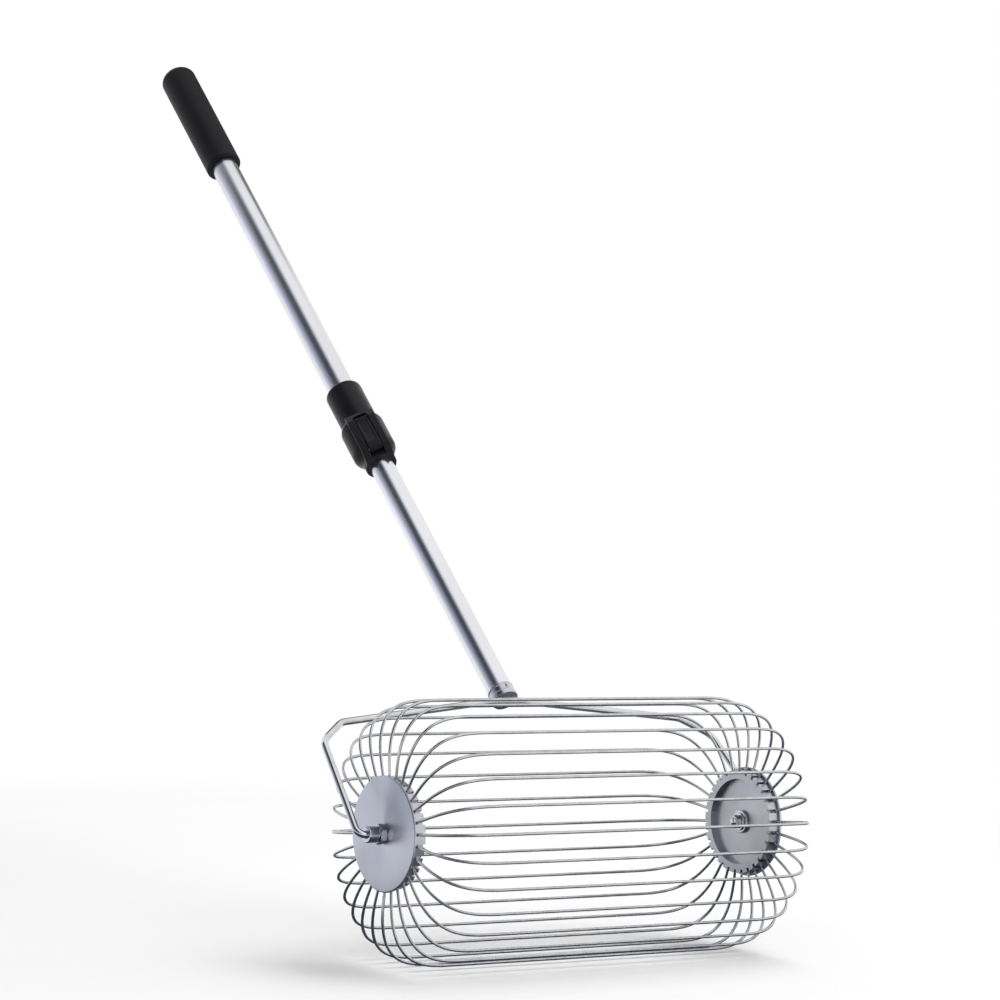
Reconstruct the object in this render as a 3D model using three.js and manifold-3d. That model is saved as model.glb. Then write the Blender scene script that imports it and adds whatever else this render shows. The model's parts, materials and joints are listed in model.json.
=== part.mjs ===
import * as THREE from 'three';
import { mergeVertices } from 'three/addons/utils/BufferGeometryUtils.js';
import Module from 'manifold-3d';

const wasm = await Module();
wasm.setup();

// A rolling wire cage on a bent rod yoke, with a telescopic handle. Millimetres, +Z up.
// The cage turns about X, the handle leans back towards +Y.

// Clearances
const seatGap = 0.3;
const runningGap = 0.3;
const cutOverrun = 5;

// Wire cage
const wireCount = 30;
const wireDiameter = 3.2;
const cageRadius = 140;
const cageLength = 488;
const straightLength = 343;
const wireSeatRadius = 54.2;
const wireBulge = 12;
const wireRiseShare = 0.97;
const wireShoulderShare = 0.62;
const wireSides = 6;
const wireSectionTurn = 18;
const wireFootDepth = 2.6;
const wireCurveSteps = 7;

// End discs, notched rings and hubs of the cage
const discRadius = 61.2;
const discThickness = 3.2;
const discChamfer = 0.8;
const ringRadius = 58;
const ringThickness = 12;
const ringWebThickness = 5.2;
const ringRimBore = 48;
const bushRadius = 7.4;
const bushFlangeRadius = 13;
const bushFlangeThickness = 3.5;
const bushOverhang = 0.6;
const hubNutAcross = 19;
const hubNutHeight = 7.4;
const washerRadius = 10;
const washerThickness = 1.5;
const keeperAcross = 13;
const keeperHeight = 6;
const collarRadius = 7.5;
const collarLength = 12.4;
const collarChamfer = 1;

// Yoke rod
const rodDiameter = 8;
const rodSides = 10;
const rodOverhang = 2;
const footStandoff = 10;
const elbowInset = 12.5;
const shoulderInset = 33.5;
const shoulderClearance = 15.9;
const elbowDrop = 26.5;
const crownRise = 28.5;
const crownHalfWidth = 21;
const footBendRadius = 9;
const elbowBendRadius = 22;
const crownBendRadius = 60;
const footBendSteps = 6;
const elbowBendSteps = 4;
const crownBendSteps = 2;

// Handle tubes and the socket that stands on the yoke
const handleLean = 47.7;
const lowerTubeRadius = 14.3;
const lowerTubeWall = 1.4;
const lowerTubeShown = 362.7;
const upperTubeRadius = 16.5;
const upperTubeWall = 1.4;
const upperTubeLength = 702.7;
const tubeOverlap = 178;
const socketRadius = 16.6;
const socketLength = 17;
const socketChamfer = 1.6;
const spigotLength = 26;
const guideHeadLength = 12;
const guideSpigotLength = 18;
const guideBoreRadius = 8;

// Foam grip
const gripRadius = 23;
const gripLength = 187;
const gripCrownRadius = 11;
const gripCrownThickness = 4;
const gripRimRadius = 1.5;

// Flip lock that clamps the lower tube, turned a little to the left around the pole
const lockTurn = 33;
const lockLength = 129;
const lockRadius = 22.6;
const lockTopRounding = 5;
const neckRadius = 19.4;
const neckLength = 16;
const lockCollarRadius = 26.8;
const lockCollarLength = 55;
const lockCollarBevel = 6;
const lockCollarChamfer = 2;
const tubeStopRise = 36;
const cheekWidth = 35;
const cheekProud = 4.4;
const cheekHeelRise = 9;
const cheekShoulderDrop = 12;
const leverWidth = 16.5;
const leverSideGap = 0.4;
const leverLength = 51;
const leverTopGap = 2;
const leverTipThickness = 5.5;
const leverProud = 1.5;
const leverPivotRise = 12;
const leverPivotDepth = 3.5;
const camRadius = 4.3;
const slotWall = 2.1;
const pinRadius = 2;
const shoeHeight = 12;
const shoeWidth = 14;

// Facets round each turned piece
const discFacets = 40;
const tubeFacets = 32;
const hubFacets = 24;
const smallFacets = 16;
const roundingSteps = 3;

// Places along the cage axis, measured outwards from the middle of the cage
const discOuter = cageLength / 2;
const discInner = discOuter - discThickness;
const ringOuter = discInner - seatGap;
const ringInner = ringOuter - ringThickness;
const webInner = ringOuter - ringWebThickness;
const wireEnd = ringOuter - wireFootDepth;
const flangeOuter = webInner - seatGap;
const flangeInner = flangeOuter - bushFlangeThickness;
const washerOuter = flangeInner - seatGap;
const washerInner = washerOuter - washerThickness;
const keeperOuter = washerInner - seatGap;
const keeperInner = keeperOuter - keeperHeight;
const rodEnd = keeperInner - rodOverhang;
const hubNutInner = discOuter + seatGap;
const hubNutOuter = hubNutInner + hubNutHeight;
const bushEnd = hubNutOuter + bushOverhang;
const collarInner = bushEnd + seatGap;
const collarOuter = collarInner + collarLength;

// Radii that follow from the pieces they hold
const rodRadius = rodDiameter / 2;
const wireRadius = wireDiameter / 2;
const rodBoreRadius = rodRadius + runningGap;
const bushBoreRadius = bushRadius + seatGap;
const lowerBoreRadius = lowerTubeRadius - lowerTubeWall;
const upperBoreRadius = upperTubeRadius - upperTubeWall;
const spigotRadius = lowerBoreRadius - seatGap;

// Corners of the yoke, from the middle of the cage
const yokeFootHalfWidth = collarOuter + footStandoff;
const yokeElbowHalfWidth = yokeFootHalfWidth - elbowInset;
const yokeShoulderHalfWidth = yokeElbowHalfWidth - shoulderInset;
const yokeShoulderHeight = cageRadius + wireRadius + shoulderClearance;
const yokeElbowHeight = yokeShoulderHeight - elbowDrop;
const yokeCrownHeight = yokeShoulderHeight + crownRise;

// Places along the handle, measured from the cage axis
const socketTop = yokeCrownHeight + socketLength;
const lowerTubeBottom = socketTop + seatGap;
const lockBottom = lowerTubeBottom + lowerTubeShown;
const lockTop = lockBottom + lockLength;
const lockTubeStop = lockBottom + tubeStopRise;
const lowerTubeTop = lockTubeStop + tubeOverlap;
const upperTubeBottom = lockTubeStop + seatGap;
const upperTubeTop = upperTubeBottom + upperTubeLength;
const gripBottom = upperTubeTop + seatGap + gripCrownThickness - gripLength;

// The lock's collar, cheeks, lever and slot
const lockCollarBottom = lockBottom + neckLength;
const lockCollarTop = lockCollarBottom + lockCollarLength;
const cheekReach = lockRadius + cheekProud;
const leverPivotHeight = lockBottom + leverPivotRise;
const leverPivotReach = cheekReach - leverPivotDepth;
const leverTop = leverPivotHeight + leverLength;
const slotFloorReach = upperTubeRadius + seatGap + slotWall;

const wireSteel = { color: 0xc9ccd0, roughness: 0.25, metalness: 1 };
const discSteel = { color: 0xc6c6d0, roughness: 0.4, metalness: 0.9 };
const nutSteel = { color: 0xb4b6ba, roughness: 0.35, metalness: 1 };
const darkSteel = { color: 0x6d6f73, roughness: 0.45, metalness: 1 };
const tubeAluminium = { color: 0xd3d3d8, roughness: 0.35, metalness: 1 };
const blackPlastic = { color: 0x17171a, roughness: 0.45, metalness: 0 };
const blackFoam = { color: 0x1b1b1e, roughness: 0.85, metalness: 0 };

function meshOf(name, geometry, finish) {
  const mesh = new THREE.Mesh(geometry, new THREE.MeshStandardMaterial(finish));
  mesh.name = name;
  return mesh;
}

function solidOf(geometry) {
  const bare = geometry.clone();
  bare.deleteAttribute('normal');
  bare.deleteAttribute('uv');
  const merged = mergeVertices(bare);
  const vertProperties = new Float32Array(merged.attributes.position.array);
  const triVerts = new Uint32Array(merged.index.array);
  return new wasm.Manifold(new wasm.Mesh({ numProp: 3, vertProperties, triVerts }));
}

function geometryOf(solid) {
  const mesh = solid.getMesh();
  const geometry = new THREE.BufferGeometry();
  geometry.setAttribute('position', new THREE.BufferAttribute(mesh.vertProperties, 3));
  geometry.setIndex(new THREE.BufferAttribute(mesh.triVerts, 1));
  return geometry;
}

// A route given by stations, each with a point and a direction, one section at each station
class StationRoute extends THREE.Curve {
  constructor(stations) {
    super();
    this.stations = stations;
  }

  between(t, key, target) {
    const last = this.stations.length - 1;
    const place = Math.min(Math.max(t, 0), 1) * last;
    const index = Math.min(Math.floor(place), last - 1);
    const before = this.stations[index][key];
    const after = this.stations[index + 1][key];
    return target.lerpVectors(before, after, place - index);
  }

  getPoint(t, target = new THREE.Vector3()) {
    return this.between(t, 'point', target);
  }

  getTangent(t, target = new THREE.Vector3()) {
    return this.between(t, 'direction', target).normalize();
  }

  getUtoTmapping(u) {
    return u;
  }
}

function rodAlong(stations, radius, sides, sectionTurn = 0) {
  const section = new THREE.Shape();
  for (let i = 0; i < sides; i += 1) {
    const angle = (2 * Math.PI * i) / sides + THREE.MathUtils.degToRad(sectionTurn);
    const point = [radius * Math.cos(angle), radius * Math.sin(angle)];
    if (i === 0) section.moveTo(...point);
    else section.lineTo(...point);
  }
  section.closePath();
  const steps = stations.length - 1;
  return new THREE.ExtrudeGeometry(section, { steps, extrudePath: new StationRoute(stations) });
}

// A revolve about the X axis: each profile point is [radius, distance outwards]
function turnedAcross(profile, facets) {
  return turned(profile, facets).rotateZ(-Math.PI / 2);
}

// A revolve about the Z axis: each profile point is [radius, height]
function turnedUpright(profile, facets) {
  return turned(profile, facets).rotateX(Math.PI / 2);
}

function turned(profile, facets) {
  const points = profile.map(([radius, height]) => new THREE.Vector2(radius, height));
  points.push(points[0].clone());
  return new THREE.LatheGeometry(points, facets);
}

// A flat outline pushed outwards along X from the inner place to the outer place
function plateAcross(shape, inner, outer) {
  const settings = { depth: outer - inner, bevelEnabled: false };
  return new THREE.ExtrudeGeometry(shape, settings).translate(0, 0, inner).rotateY(Math.PI / 2);
}

// Points of a quarter round about a centre, from one angle in degrees to another
function roundPoints(centreRadius, centreHeight, rounding, from, to) {
  const points = [];
  for (let i = 0; i <= roundingSteps; i += 1) {
    const angle = THREE.MathUtils.degToRad(from + ((to - from) * i) / roundingSteps);
    const radius = centreRadius + rounding * Math.cos(angle);
    points.push([radius, centreHeight + rounding * Math.sin(angle)]);
  }
  return points;
}

function roundHole(radius, facets) {
  const hole = new THREE.Path();
  hole.setFromPoints(new THREE.Path().absarc(0, 0, radius, 0, 2 * Math.PI, true).getPoints(facets));
  return hole;
}

// One wire: a straight top, a round shoulder and a radial leg at both ends
function wireStations() {
  const halfStraight = straightLength / 2;
  const rise = wireRiseShare * (cageRadius - wireSeatRadius);
  const run = wireShoulderShare * (wireEnd - halfStraight);
  const half = new THREE.CubicBezierCurve3(
    new THREE.Vector3(wireEnd, 0, wireSeatRadius),
    new THREE.Vector3(wireEnd + wireBulge, 0, wireSeatRadius + rise),
    new THREE.Vector3(halfStraight + run, 0, cageRadius),
    new THREE.Vector3(halfStraight, 0, cageRadius),
  );
  const stations = [];
  for (let i = 0; i <= wireCurveSteps; i += 1) {
    const t = i / wireCurveSteps;
    stations.push({ point: half.getPoint(t), direction: half.getTangent(t) });
  }
  const mirrored = stations.map(({ point, direction }) => ({
    point: new THREE.Vector3(-point.x, 0, point.z),
    direction: new THREE.Vector3(direction.x, 0, -direction.z),
  }));
  return [...stations, ...mirrored.reverse()];
}

function makeWires() {
  const wires = new THREE.Group();
  for (let i = 0; i < wireCount; i += 1) {
    const name = `wire_${String(i + 1).padStart(2, '0')}`;
    const rod = rodAlong(wireStations(), wireRadius, wireSides, wireSectionTurn);
    const wire = meshOf(name, rod, wireSteel);
    wire.rotation.x = (2 * Math.PI * i) / wireCount;
    wires.add(wire);
  }
  return wires;
}

// The outline of the notched ring: one open notch for the foot of each wire
function notchedOutline() {
  const halfNotch = wireRadius + seatGap;
  const floor = wireSeatRadius - seatGap;
  const tip = Math.sqrt(ringRadius ** 2 - halfNotch ** 2);
  const corners = [[tip, -halfNotch], [floor, -halfNotch], [floor, halfNotch], [tip, halfNotch]];
  const outline = [];
  for (let i = 0; i < wireCount; i += 1) {
    const turn = (2 * Math.PI * i) / wireCount;
    for (const corner of corners) {
      outline.push(new THREE.Vector2(...corner).rotateAround(new THREE.Vector2(), turn));
    }
  }
  return outline;
}

function notchedPlate(boreRadius, facets, inner) {
  const shape = new THREE.Shape(notchedOutline());
  shape.holes.push(roundHole(boreRadius, facets));
  return solidOf(plateAcross(shape, inner, ringOuter));
}

// A deep rim on a thin web
function makeRing(side) {
  const web = notchedPlate(bushBoreRadius, hubFacets, webInner);
  const rim = notchedPlate(ringRimBore, hubFacets, ringInner);
  return meshOf(`${side}_notched_ring`, geometryOf(web.add(rim)), nutSteel);
}

function makeDisc(side) {
  const profile = [
    [bushBoreRadius, discInner],
    [discRadius, discInner],
    [discRadius, discOuter - discChamfer],
    [discRadius - discChamfer, discOuter],
    [bushBoreRadius, discOuter],
  ];
  return meshOf(`${side}_end_disc`, turnedAcross(profile, discFacets), discSteel);
}

function makeBush(side) {
  const profile = [
    [rodBoreRadius, flangeInner],
    [bushFlangeRadius, flangeInner],
    [bushFlangeRadius, flangeOuter],
    [bushRadius, flangeOuter],
    [bushRadius, bushEnd],
    [rodBoreRadius, bushEnd],
  ];
  return meshOf(`${side}_hub_bush`, turnedAcross(profile, hubFacets), darkSteel);
}

function hexNut(across, boreRadius, inner, outer, facets) {
  const corner = across / Math.sqrt(3);
  const outline = [];
  for (let i = 0; i < 6; i += 1) {
    const angle = (Math.PI / 3) * i;
    outline.push(new THREE.Vector2(corner * Math.cos(angle), corner * Math.sin(angle)));
  }
  const shape = new THREE.Shape(outline);
  shape.holes.push(roundHole(boreRadius, facets));
  return plateAcross(shape, inner, outer);
}

function makeHubNut(side) {
  const nut = hexNut(hubNutAcross, bushBoreRadius, hubNutInner, hubNutOuter, hubFacets);
  return meshOf(`${side}_hub_nut`, nut, nutSteel);
}

function makeKeeperNut(side) {
  const nut = hexNut(keeperAcross, rodBoreRadius, keeperInner, keeperOuter, smallFacets);
  return meshOf(`${side}_keeper_nut`, nut, nutSteel);
}

function makeWasher(side) {
  const profile = [
    [rodBoreRadius, washerInner],
    [washerRadius, washerInner],
    [washerRadius, washerOuter],
    [rodBoreRadius, washerOuter],
  ];
  return meshOf(`${side}_washer`, turnedAcross(profile, smallFacets), nutSteel);
}

function makeCollar(side) {
  const profile = [
    [rodBoreRadius, collarInner],
    [collarRadius - collarChamfer, collarInner],
    [collarRadius, collarInner + collarChamfer],
    [collarRadius, collarOuter - collarChamfer],
    [collarRadius - collarChamfer, collarOuter],
    [rodBoreRadius, collarOuter],
  ];
  return meshOf(`${side}_collar`, turnedAcross(profile, hubFacets), nutSteel);
}

// The pieces of both ends: those that turn with the cage and those that stay on the yoke
function makeEnds(makers) {
  const ends = new THREE.Group();
  for (const side of ['left', 'right']) {
    const end = new THREE.Group();
    end.add(...makers.map((make) => make(side)));
    end.rotation.z = side === 'left' ? Math.PI : 0;
    ends.add(end);
  }
  return ends;
}

// Stations along straight lines joined by round bends, in the plane of the yoke
function bentStations(corners) {
  const first = corners[0].at;
  const last = corners[corners.length - 1].at;
  const stations = [];
  const add = (point, direction) => stations.push({ point, direction });
  add(first, corners[1].at.clone().sub(first).normalize());
  for (let i = 1; i < corners.length - 1; i += 1) {
    const { at, bend, steps } = corners[i];
    const inward = at.clone().sub(corners[i - 1].at).normalize();
    const outward = corners[i + 1].at.clone().sub(at).normalize();
    const turn = inward.angleTo(outward);
    const start = at.clone().addScaledVector(inward, -bend * Math.tan(turn / 2));
    const axis = inward.clone().cross(outward).normalize();
    const centre = start.clone().addScaledVector(axis.clone().cross(inward), bend);
    for (let step = 0; step <= steps; step += 1) {
      const angle = (turn * step) / steps;
      const spoke = start.clone().sub(centre).applyAxisAngle(axis, angle);
      add(centre.clone().add(spoke), inward.clone().applyAxisAngle(axis, angle));
    }
  }
  add(last, last.clone().sub(corners[corners.length - 2].at).normalize());
  return stations;
}

function makeYoke() {
  const half = [
    [rodEnd, 0],
    [yokeFootHalfWidth, 0, footBendRadius, footBendSteps],
    [yokeElbowHalfWidth, yokeElbowHeight, elbowBendRadius, elbowBendSteps],
    [yokeShoulderHalfWidth, yokeShoulderHeight, elbowBendRadius, elbowBendSteps],
    [crownHalfWidth, yokeCrownHeight, crownBendRadius, crownBendSteps],
  ];
  const corner = (sign) => ([across, height, bend, steps]) => (
    { at: new THREE.Vector3(sign * across, 0, height), bend, steps }
  );
  const corners = [...half.map(corner(-1)), ...half.map(corner(1)).reverse()];
  return meshOf('yoke_rod', rodAlong(bentStations(corners), rodRadius, rodSides), wireSteel);
}

// The socket rests on the crown of the yoke in a half round saddle and plugs into the tube
function makeSocket() {
  const profile = [
    [0, yokeCrownHeight],
    [socketRadius - socketChamfer, yokeCrownHeight],
    [socketRadius, yokeCrownHeight + socketChamfer],
    [socketRadius, socketTop],
    [spigotRadius, socketTop],
    [spigotRadius, socketTop + spigotLength],
    [0, socketTop + spigotLength],
  ];
  const saddleLength = 2 * (socketRadius + cutOverrun);
  const saddle = new THREE.CylinderGeometry(rodBoreRadius, rodBoreRadius, saddleLength, smallFacets)
    .rotateZ(Math.PI / 2).translate(0, 0, yokeCrownHeight);
  const body = solidOf(turnedUpright(profile, tubeFacets)).subtract(solidOf(saddle));
  return meshOf('pole_socket', geometryOf(body), nutSteel);
}

function tubeBetween(outerRadius, innerRadius, bottom, top) {
  const profile = [[innerRadius, bottom], [outerRadius, bottom], [outerRadius, top], [innerRadius, top]];
  return turnedUpright(profile, tubeFacets);
}

function makeLowerTube() {
  const tube = tubeBetween(lowerTubeRadius, lowerBoreRadius, lowerTubeBottom, lowerTubeTop);
  return meshOf('lower_tube', tube, tubeAluminium);
}

function makeUpperTube() {
  const tube = tubeBetween(upperTubeRadius, upperBoreRadius, upperTubeBottom, upperTubeTop);
  return meshOf('upper_tube', tube, tubeAluminium);
}

// The bush that centres the top of the lower tube inside the upper tube
function makeGuideBush() {
  const headRadius = upperBoreRadius - runningGap;
  const headBottom = lowerTubeTop + seatGap;
  const profile = [
    [guideBoreRadius, lowerTubeTop - guideSpigotLength],
    [spigotRadius, lowerTubeTop - guideSpigotLength],
    [spigotRadius, headBottom],
    [headRadius, headBottom],
    [headRadius, headBottom + guideHeadLength],
    [guideBoreRadius, headBottom + guideHeadLength],
  ];
  return meshOf('guide_bush', turnedUpright(profile, tubeFacets), blackPlastic);
}

function makeGrip() {
  const boreRadius = upperTubeRadius + seatGap;
  const boreTop = upperTubeTop + seatGap;
  const top = gripBottom + gripLength;
  const crownCentre = top - gripCrownRadius;
  const rimCentre = gripBottom + gripRimRadius;
  const profile = [
    [boreRadius, gripBottom],
    ...roundPoints(gripRadius - gripRimRadius, rimCentre, gripRimRadius, -90, 0),
    ...roundPoints(gripRadius - gripCrownRadius, crownCentre, gripCrownRadius, 0, 90),
    [0, top],
    [0, boreTop],
    [boreRadius, boreTop],
  ];
  return meshOf('foam_grip', turnedUpright(profile, tubeFacets), blackFoam);
}

// A side outline, drawn as [reach towards the front, height], pushed to both sides of the middle
function acrossHandle(shape, width) {
  const front = new THREE.Vector3(0, -1, 0);
  const up = new THREE.Vector3(0, 0, 1);
  const turn = new THREE.Matrix4().makeBasis(front, up, front.clone().cross(up));
  const settings = { depth: width, bevelEnabled: false, curveSegments: smallFacets };
  return new THREE.ExtrudeGeometry(shape, settings).translate(0, 0, -width / 2).applyMatrix4(turn);
}

function outlineOf(points) {
  return new THREE.Shape(points.map((point) => new THREE.Vector2(...point)));
}

function pinBore(radius) {
  return new THREE.CylinderGeometry(radius, radius, cheekWidth + 2 * cutOverrun, smallFacets)
    .rotateZ(Math.PI / 2).translate(0, -leverPivotReach, leverPivotHeight);
}

function lockSleeve() {
  const roundCentre = lockTop - lockTopRounding;
  return turnedUpright([
    [0, lockBottom],
    [neckRadius, lockBottom],
    [neckRadius, lockCollarBottom],
    [lockRadius, lockCollarBottom],
    ...roundPoints(lockRadius - lockTopRounding, roundCentre, lockTopRounding, 0, 90),
    [0, lockTop],
  ], tubeFacets);
}

// The wider collar around the foot of the sleeve, with its ends bevelled
function lockCollar() {
  return turnedUpright([
    [0, lockCollarBottom],
    [lockCollarRadius - lockCollarChamfer, lockCollarBottom],
    [lockCollarRadius, lockCollarBottom + lockCollarBevel],
    [lockCollarRadius, lockCollarTop - lockCollarBevel],
    [lockRadius - lockCollarChamfer, lockCollarTop],
    [0, lockCollarTop],
  ], tubeFacets);
}

// Two flat cheeks on the front, made as one block that the slot then parts
function lockCheeks() {
  return acrossHandle(outlineOf([
    [0, lockBottom],
    [neckRadius, lockBottom],
    [cheekReach, lockBottom + cheekHeelRise],
    [cheekReach, lockCollarTop - cheekShoulderDrop],
    [lockRadius, lockCollarTop],
    [0, lockCollarTop],
  ]), cheekWidth);
}

function lockBores() {
  const upper = upperTubeRadius + seatGap;
  const lower = lowerTubeRadius + runningGap;
  return turnedUpright([
    [0, lockBottom - cutOverrun],
    [lower, lockBottom - cutOverrun],
    [lower, lockTubeStop],
    [upper, lockTubeStop],
    [upper, lockTop + cutOverrun],
    [0, lockTop + cutOverrun],
  ], tubeFacets);
}

// The slot between the cheeks, open at the foot so that the lever can swing
function lockSlot() {
  const reach = lockCollarRadius + cutOverrun;
  const top = leverTop + leverTopGap;
  return acrossHandle(outlineOf([
    [slotFloorReach, lockBottom - cutOverrun],
    [reach, lockBottom - cutOverrun],
    [reach, top],
    [slotFloorReach, top],
  ]), leverWidth + 2 * leverSideGap);
}

// The window through the sleeve that lets the shoe press on the lower tube
function shoeBlock(margin, inner, outer) {
  const depth = outer - inner;
  return new THREE.BoxGeometry(shoeWidth + 2 * margin, depth, shoeHeight + 2 * margin)
    .translate(0, -(inner + depth / 2), leverPivotHeight);
}

function makeLockBody() {
  const window = shoeBlock(seatGap, 0, slotFloorReach + cutOverrun);
  const body = solidOf(lockSleeve())
    .add(solidOf(lockCollar()))
    .add(solidOf(lockCheeks()))
    .subtract(solidOf(lockBores()))
    .subtract(solidOf(lockSlot()))
    .subtract(solidOf(window))
    .subtract(solidOf(pinBore(pinRadius + seatGap)));
  return meshOf('lock_body', geometryOf(body), blackPlastic);
}

function makeShoe() {
  const reach = leverPivotReach - camRadius - seatGap;
  const tube = tubeBetween(lowerTubeRadius + runningGap, 0, lockBottom, lockTop);
  const shoe = solidOf(shoeBlock(0, 0, reach)).subtract(solidOf(tube));
  return meshOf('clamp_shoe', geometryOf(shoe), darkSteel);
}

function makeLeverPin() {
  const pin = new THREE.CylinderGeometry(pinRadius, pinRadius, cheekWidth, smallFacets)
    .rotateZ(Math.PI / 2);
  pin.translate(0, -leverPivotReach, leverPivotHeight);
  return meshOf('lever_pin', pin, nutSteel);
}

// The lever, drawn about its pivot: a round cam at the foot and a tapering arm
function makeLever() {
  const heel = cheekReach + leverProud - leverPivotReach;
  const tipBack = slotFloorReach + seatGap - leverPivotReach;
  const shape = new THREE.Shape();
  shape.moveTo(tipBack, leverLength);
  shape.lineTo(tipBack, camRadius);
  shape.lineTo(-camRadius, 0);
  shape.absarc(0, 0, camRadius, Math.PI, 1.5 * Math.PI, false);
  shape.lineTo(heel, -camRadius / 2);
  shape.lineTo(heel, camRadius);
  shape.lineTo(tipBack + leverTipThickness, leverLength);
  shape.closePath();
  shape.holes.push(roundHole(pinRadius + runningGap, smallFacets));
  const lever = meshOf('lock_lever', acrossHandle(shape, leverWidth), blackPlastic);
  lever.position.set(0, -leverPivotReach, leverPivotHeight);
  return lever;
}

function makeCage() {
  const cage = new THREE.Group();
  cage.add(makeWires(), makeEnds([makeRing, makeDisc, makeBush, makeHubNut]));
  return cage;
}

function makeLock() {
  const lock = new THREE.Group();
  lock.add(makeLockBody(), makeShoe(), makeLeverPin(), makeLever());
  lock.rotation.z = -THREE.MathUtils.degToRad(lockTurn);
  return lock;
}

function makeHandle() {
  const handle = new THREE.Group();
  handle.add(
    makeEnds([makeKeeperNut, makeWasher, makeCollar]),
    makeYoke(),
    makeSocket(),
    makeLowerTube(),
    makeGuideBush(),
    makeUpperTube(),
    makeGrip(),
    makeLock(),
  );
  handle.rotation.x = -THREE.MathUtils.degToRad(handleLean);
  return handle;
}

// The whole picker stands on z = 0, centred over the origin
function makePicker() {
  const picker = new THREE.Group();
  picker.add(makeCage(), makeHandle());
  const box = new THREE.Box3().setFromObject(picker, true);
  const middle = box.getCenter(new THREE.Vector3());
  picker.position.set(-middle.x, -middle.y, -box.min.z);
  picker.updateMatrixWorld(true);
  return picker;
}

export default makePicker();
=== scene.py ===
import json
import math

import bmesh
import bpy
import numpy as np
from mathutils import Matrix, Vector


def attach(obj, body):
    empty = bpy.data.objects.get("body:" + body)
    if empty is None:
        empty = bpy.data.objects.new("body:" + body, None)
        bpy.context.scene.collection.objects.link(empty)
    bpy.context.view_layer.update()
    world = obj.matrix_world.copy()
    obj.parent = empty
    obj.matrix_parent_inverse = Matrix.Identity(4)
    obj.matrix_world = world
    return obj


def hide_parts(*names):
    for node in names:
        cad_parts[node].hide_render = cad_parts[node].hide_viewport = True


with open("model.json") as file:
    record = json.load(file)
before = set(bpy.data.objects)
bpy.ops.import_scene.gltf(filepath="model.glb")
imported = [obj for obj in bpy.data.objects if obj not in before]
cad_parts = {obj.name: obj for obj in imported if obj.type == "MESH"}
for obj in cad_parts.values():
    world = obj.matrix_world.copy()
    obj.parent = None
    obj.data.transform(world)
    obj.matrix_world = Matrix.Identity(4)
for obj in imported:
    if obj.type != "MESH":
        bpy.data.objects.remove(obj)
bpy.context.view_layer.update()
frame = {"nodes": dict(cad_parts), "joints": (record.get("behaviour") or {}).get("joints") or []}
nodes = frame["nodes"]
joints = {joint["name"]: joint for joint in frame["joints"]}
# the pieces' sizes are in millimetres, the meshes and the studio in metres
mm = 0.001


def unit(vectors):
    return vectors / np.linalg.norm(vectors, axis=-1, keepdims=True)


# the cage axis, the pole axis and the lever's pivot are where the joints say
cageCentre = np.array(joints["cage_spin"]["pos_m"])
leverPivot = np.array(joints["lever_hinge"]["pos_m"])
across = np.array([1.0, 0.0, 0.0])
poleUp = unit(np.array(joints["pole_slide"]["axis"]))
poleBack = np.cross(poleUp, across)
# the lock is turned round the pole, so its own sides follow the lever's hinge
lockAcross = unit(np.array(joints["lever_hinge"]["axis"]))
lockBack = np.cross(poleUp, lockAcross)
handleLean = math.atan2(poleUp[1], poleUp[2])
print("frame: handle leans", round(math.degrees(handleLean), 2), "degrees")


# meshes from arrays

def gridMesh(name, grid, closeRows=False, closeCols=True, sharp=35):
    # rows by columns of points become quads; a closed direction joins its last line to its first
    rows, cols = grid.shape[:2]
    down = np.arange(rows if closeRows else rows - 1)
    along = np.arange(cols if closeCols else cols - 1)
    r, c = [a.ravel() for a in np.meshgrid(down, along, indexing="ij")]
    r1, c1 = (r + 1) % rows, (c + 1) % cols
    quads = np.stack([r * cols + c, r * cols + c1, r1 * cols + c1, r1 * cols + c], 1)
    mesh = bpy.data.meshes.new(name)
    mesh.from_pydata(grid.reshape(-1, 3), [], quads.tolist())
    cleanMesh(mesh)
    mesh.shade_smooth()
    mesh.set_sharp_from_angle(angle=math.radians(sharp))
    return linked(name, mesh)


def cleanMesh(mesh, weld=1e-6, sliver=1e-7):
    # points that meet are welded, faces without an area taken out and the others turned outwards
    work = bmesh.new()
    work.from_mesh(mesh)
    bmesh.ops.remove_doubles(work, verts=work.verts, dist=weld)
    bmesh.ops.dissolve_degenerate(work, edges=work.edges, dist=sliver)
    bmesh.ops.recalc_face_normals(work, faces=work.faces)
    work.to_mesh(mesh)
    work.free()


def linked(name, data):
    thing = bpy.data.objects.new(name, data)
    bpy.context.scene.collection.objects.link(thing)
    return thing


def ramp(value, start, end):
    # 0 up to start and 1 from end on, straight between
    return np.clip((value - start) / (end - start), 0, 1)


def fallen(value, start, end):
    # from 0 at start to 1 at end, falling away like a quarter circle
    return 1 - np.sqrt(1 - ramp(value, start, end) ** 2)


def filleted(corners, steps):
    # a closed outline of (a, b, rounding): each corner is a quadratic curve between its two tangent points
    points = np.array([corner[:2] for corner in corners], float)
    rounding = np.array([corner[2] for corner in corners], float)
    before, after = np.roll(points, 1, 0) - points, np.roll(points, -1, 0) - points
    # a rounding takes less than half of the shorter line beside it
    shorter = np.minimum(np.linalg.norm(before, axis=1), np.linalg.norm(after, axis=1))
    reach = np.minimum(rounding, 0.49 * shorter)[:, None]
    start, end = points + unit(before) * reach, points + unit(after) * reach
    t = np.linspace(0, 1, steps + 1)[None, :, None]
    curve = (1 - t) ** 2 * start[:, None] + 2 * t * (1 - t) * points[:, None] + t ** 2 * end[:, None]
    return curve.reshape(-1, 2)


def mirrored(half, middle=0.0):
    # the corners of a lower half, then the same ones upside down
    other = [(radius, 2 * middle - height, rounding) for radius, height, rounding in reversed(half)]
    return [*half, *other]


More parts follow.
